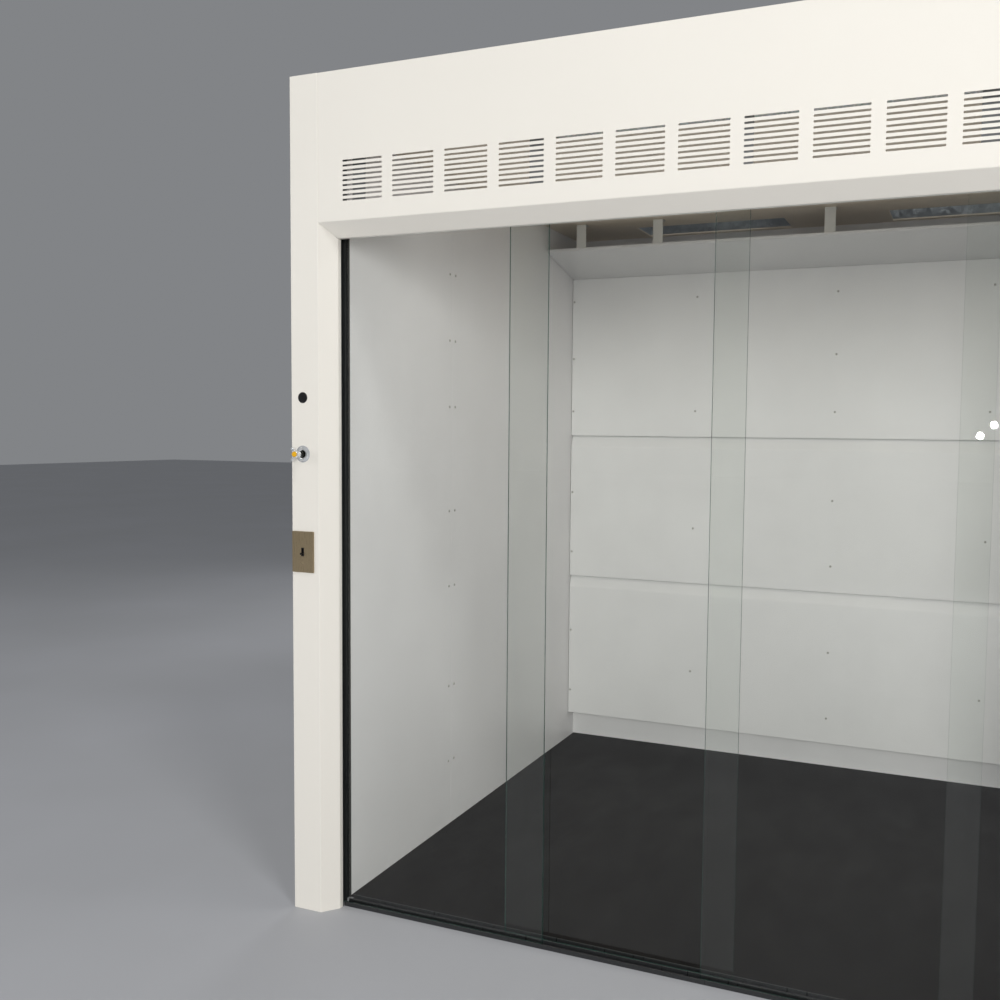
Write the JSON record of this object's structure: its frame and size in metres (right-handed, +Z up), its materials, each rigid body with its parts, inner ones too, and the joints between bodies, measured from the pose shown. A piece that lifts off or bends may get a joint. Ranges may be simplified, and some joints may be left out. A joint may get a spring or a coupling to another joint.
{
  "type": "fume hood",
  "caption": "Walk-in fume hood with sliding glass doors, louvred header, lapped rear baffles, roof exhaust collars, light switch and service valve.",
  "frame": {"origin": "on the ground, at the middle of the footprint, on the underside of the floor sheet", "axes": "+X to the right of a person facing the doors, +Y from the doors to the back wall, +Z up"},
  "size_m": [2.438, 1.998, 2.345],
  "materials": {
    "white_enamel": "baked powder enamel, satin",
    "side_enamel": "baked powder enamel, satin",
    "frame_steel": "grey primer",
    "ceiling_board": "moulded fibreglass board",
    "liner_board": "moulded fibreglass board, satin",
    "baffle_board": "moulded fibreglass board, satin",
    "spacer_plastic": "nylon",
    "bracket_enamel": "satin enamel",
    "collar_steel": "mill finish",
    "track_aluminium": "satin anodised",
    "jamb_black": "black anodised",
    "floor_resin": "black resin sheet, matte",
    "door_glass": "clear, polished edges",
    "hanger_steel": "brushed",
    "roller_nylon": "nylon",
    "light_enamel": "gloss enamel",
    "lens_glass": "clear",
    "tube_glass": "phosphor coated",
    "box_steel": "galvanised",
    "switch_black": "moulded",
    "plate_bronze": "brushed bronze",
    "lever_black": "moulded",
    "valve_brass": "cast",
    "chrome": "polished",
    "index_yellow": "moulded",
    "plug_black": "moulded",
    "screw_enamel": "painted",
    "screw_bronze": "brushed"
  },
  "bodies": {
    "root": {"left_front_post": "white_enamel", "right_front_post": "white_enamel", "header_panel": "white_enamel", "left_side_panels": "side_enamel", "right_side_panels": "side_enamel", "rear_panels": "side_enamel", "header_beam": "frame_steel", "left_uprights": "frame_steel", "right_uprights": "frame_steel", "frame_rails": "frame_steel", "ceiling_liner": "ceiling_board", "left_front_liner": "liner_board", "left_rear_liner": "liner_board", "right_front_liner": "liner_board", "right_rear_liner": "liner_board", "back_liner": "liner_board", "lower_baffle": "baffle_board", "middle_baffle": "baffle_board", "upper_baffle": "baffle_board", "top_baffle": "baffle_board", "baffle_spacers": "spacer_plastic", "ceiling_brackets": "bracket_enamel", "left_exhaust_collar": "collar_steel", "right_exhaust_collar": "collar_steel", "door_track": "track_aluminium", "track_brackets": "frame_steel", "bottom_guide": "jamb_black", "left_door_jamb": "jamb_black", "right_door_jamb": "jamb_black", "floor_sheet": "floor_resin", "light_housing": "light_enamel", "light_lens": "lens_glass", "light_tubes": "tube_glass", "switch_box": "box_steel", "toggle_switch": "switch_black", "switch_plate": "plate_bronze", "valve_body": "valve_brass", "valve_escutcheon": "chrome", "hole_plug": "plug_black", "wall_screws": "screw_enamel", "plate_screws": "screw_bronze"},
    "door_1": {"door_1_glass": "door_glass", "door_1_hangers": "hanger_steel"},
    "door_1_left_wheel": {"door_1_left_roller": "roller_nylon"},
    "door_1_right_wheel": {"door_1_right_roller": "roller_nylon"},
    "door_2": {"door_2_glass": "door_glass", "door_2_hangers": "hanger_steel"},
    "door_2_left_wheel": {"door_2_left_roller": "roller_nylon"},
    "door_2_right_wheel": {"door_2_right_roller": "roller_nylon"},
    "door_3": {"door_3_glass": "door_glass", "door_3_hangers": "hanger_steel"},
    "door_3_left_wheel": {"door_3_left_roller": "roller_nylon"},
    "door_3_right_wheel": {"door_3_right_roller": "roller_nylon"},
    "door_4": {"door_4_glass": "door_glass", "door_4_hangers": "hanger_steel"},
    "door_4_left_wheel": {"door_4_left_roller": "roller_nylon"},
    "door_4_right_wheel": {"door_4_right_roller": "roller_nylon"},
    "lever": {"toggle_lever": "lever_black"},
    "valve_spindle": {"valve_handle": "chrome", "valve_button": "index_yellow"}
  },
  "joints": [
    {"name": "door_1_slide", "type": "slide", "parent": "root", "child": "door_1", "axis": [1, 0, 0], "range_m": [0, 0.42]},
    {"name": "door_1_left_roll", "type": "hinge", "parent": "door_1", "child": "door_1_left_wheel", "pos_m": [-1.017, -0.903, 1.937], "axis": [0, 1, 0], "range_deg": [-20, 2554]},
    {"name": "door_1_right_roll", "type": "hinge", "parent": "door_1", "child": "door_1_right_wheel", "pos_m": [-0.577, -0.903, 1.937], "axis": [0, 1, 0], "range_deg": [-20, 2554]},
    {"name": "door_2_slide", "type": "slide", "parent": "root", "child": "door_2", "axis": [1, 0, 0], "range_m": [-0.495, 0]},
    {"name": "door_2_left_roll", "type": "hinge", "parent": "door_2", "child": "door_2_left_wheel", "pos_m": [-0.516, -0.878, 1.937], "axis": [0, 1, 0], "range_deg": [-3006, 20]},
    {"name": "door_2_right_roll", "type": "hinge", "parent": "door_2", "child": "door_2_right_wheel", "pos_m": [-0.076, -0.878, 1.937], "axis": [0, 1, 0], "range_deg": [-3006, 20]},
    {"name": "door_3_slide", "type": "slide", "parent": "root", "child": "door_3", "axis": [1, 0, 0], "range_m": [0, 0.545]},
    {"name": "door_3_left_roll", "type": "hinge", "parent": "door_3", "child": "door_3_left_wheel", "pos_m": [0.028, -0.903, 1.937], "axis": [0, 1, 0], "range_deg": [-20, 3307]},
    {"name": "door_3_right_roll", "type": "hinge", "parent": "door_3", "child": "door_3_right_wheel", "pos_m": [0.468, -0.903, 1.937], "axis": [0, 1, 0], "range_deg": [-20, 3307]},
    {"name": "door_4_slide", "type": "slide", "parent": "root", "child": "door_4", "axis": [1, 0, 0], "range_m": [-0.465, 0]},
    {"name": "door_4_left_roll", "type": "hinge", "parent": "door_4", "child": "door_4_left_wheel", "pos_m": [0.577, -0.878, 1.937], "axis": [0, 1, 0], "range_deg": [-2825, 20]},
    {"name": "door_4_right_roll", "type": "hinge", "parent": "door_4", "child": "door_4_right_wheel", "pos_m": [1.017, -0.878, 1.937], "axis": [0, 1, 0], "range_deg": [-2825, 20]},
    {"name": "lever_flip", "type": "hinge", "parent": "root", "child": "lever", "pos_m": [-1.1815, -0.9715, 1.016], "axis": [-1, 0, 0], "range_deg": [0, 30]},
    {"name": "valve_turn", "type": "hinge", "parent": "root", "child": "valve_spindle", "pos_m": [-1.1815, -0.988, 1.286], "axis": [0, 1, 0], "range_deg": [0, 360]}
  ],
  "couplings": [
    {"joint": "door_1_left_roll", "follows": "door_1_slide", "rad_per_m": 105.26},
    {"joint": "door_1_right_roll", "follows": "door_1_slide", "rad_per_m": 105.26},
    {"joint": "door_2_left_roll", "follows": "door_2_slide", "rad_per_m": 105.26},
    {"joint": "door_2_right_roll", "follows": "door_2_slide", "rad_per_m": 105.26},
    {"joint": "door_3_left_roll", "follows": "door_3_slide", "rad_per_m": 105.26},
    {"joint": "door_3_right_roll", "follows": "door_3_slide", "rad_per_m": 105.26},
    {"joint": "door_4_left_roll", "follows": "door_4_slide", "rad_per_m": 105.26},
    {"joint": "door_4_right_roll", "follows": "door_4_slide", "rad_per_m": 105.26}
  ]
}
